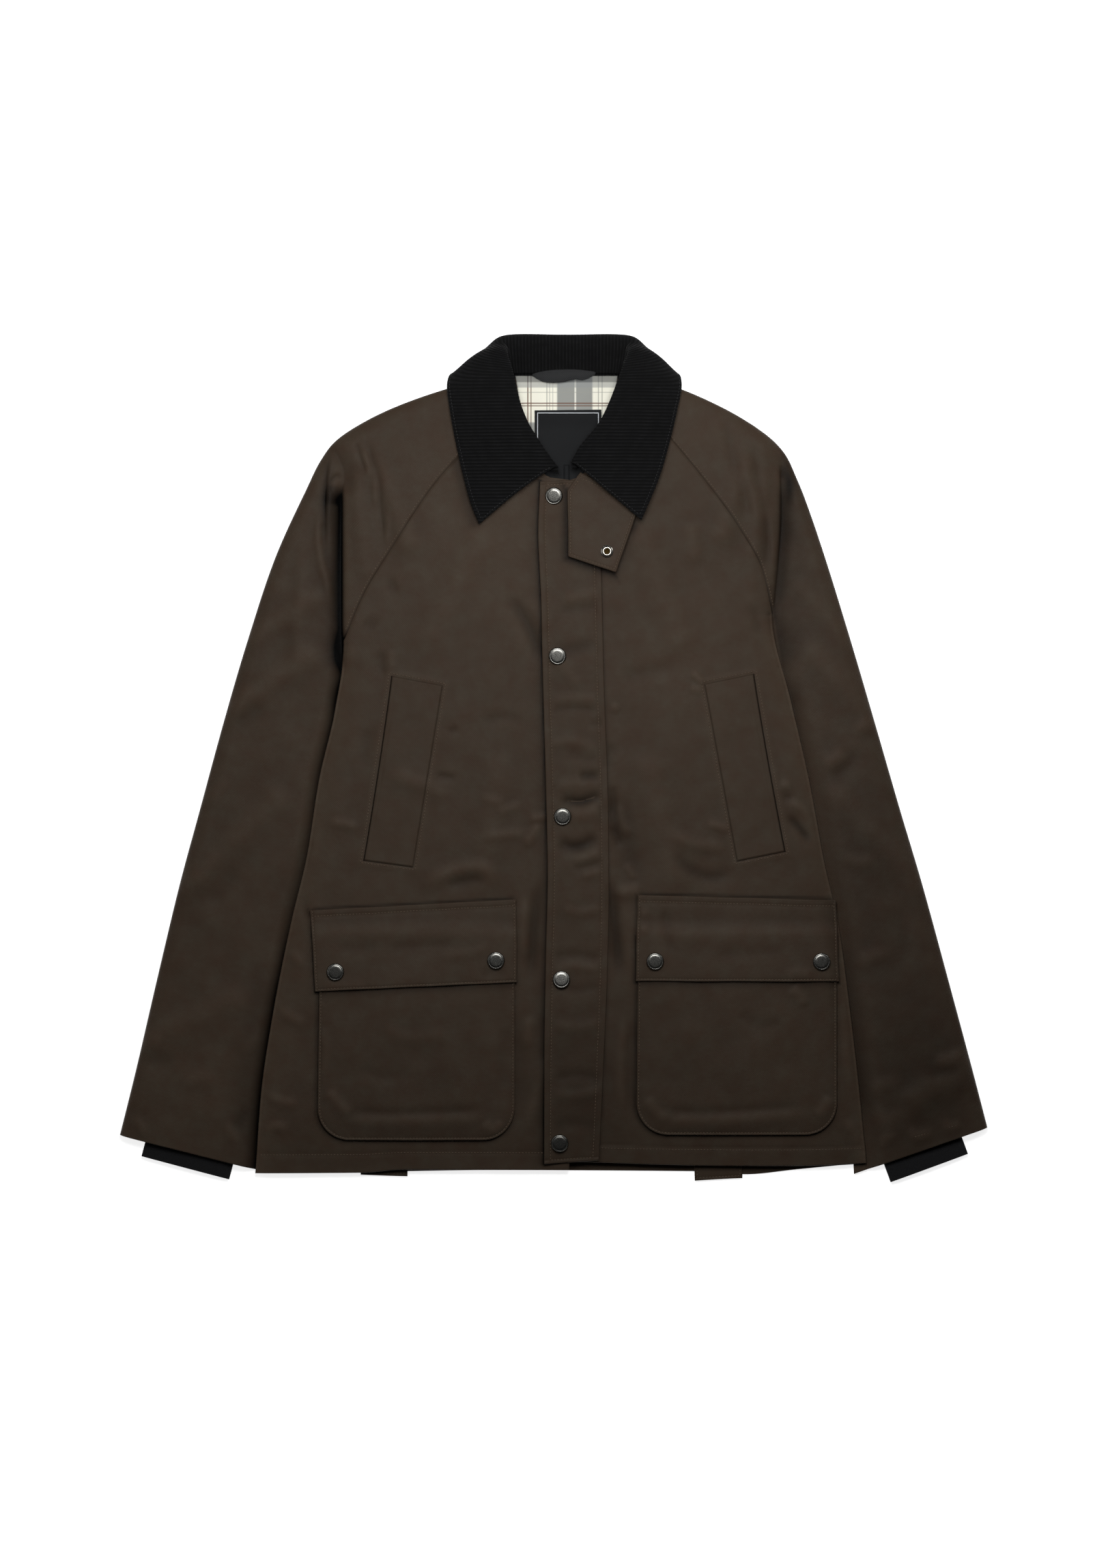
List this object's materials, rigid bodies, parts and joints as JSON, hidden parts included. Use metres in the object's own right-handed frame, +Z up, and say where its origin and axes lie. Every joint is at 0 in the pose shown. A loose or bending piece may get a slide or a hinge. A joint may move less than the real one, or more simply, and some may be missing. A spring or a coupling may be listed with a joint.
{
  "type": "waxed cotton jacket",
  "caption": "Short waxed cotton jacket laid flat: raglan sleeves, corduroy collar, snap placket, flap and welt pockets, knit inner cuffs.",
  "frame": {"origin": "centre of the bounding box at its base, on the surface that the jacket lies on", "axes": "+X across the jacket towards the wearer's left sleeve, +Y from hem to collar, +Z up from the surface through the back, the front and the collar"},
  "size_m": [0.8158, 0.7956, 0.0284],
  "materials": {
    "waxed_cotton": "waxed cotton twill, soft satin sheen",
    "corduroy": "needlecord, matt with a soft nap",
    "rib_knit": "rib knit wool, matt",
    "check_lining": "brushed cotton in a woven check, matt",
    "woven_label": "woven satin, slight sheen",
    "tape": "herringbone tape, matt",
    "gunmetal": "burnished gunmetal plate",
    "nickel": "plated nickel"
  },
  "bodies": {
    "root": {"back": "waxed_cotton", "front_right": "waxed_cotton", "front_left": "waxed_cotton", "sleeve_right_front": "waxed_cotton", "sleeve_left_front": "waxed_cotton", "sleeve_right_back": "waxed_cotton", "sleeve_left_back": "waxed_cotton", "vent_underlap_right": "waxed_cotton", "vent_underlap_left": "waxed_cotton", "welt_right": "waxed_cotton", "welt_left": "waxed_cotton", "pocket_right": "waxed_cotton", "pocket_left": "waxed_cotton", "flap_right": "waxed_cotton", "flap_left": "waxed_cotton", "placket": "waxed_cotton", "throat_tab": "waxed_cotton", "collar": "corduroy", "cuff_right": "rib_knit", "cuff_left": "rib_knit", "lining_back": "check_lining", "neck_label": "woven_label", "size_tag": "woven_label", "hanger_loop": "tape", "snap_placket_1": "gunmetal", "snap_placket_2": "gunmetal", "snap_placket_3": "gunmetal", "snap_placket_4": "gunmetal", "snap_placket_5": "gunmetal", "snap_flap_right_1": "gunmetal", "snap_flap_right_2": "gunmetal", "snap_flap_left_1": "gunmetal", "snap_flap_left_2": "gunmetal", "throat_tab_socket": "nickel"}
  },
  "joints": []
}
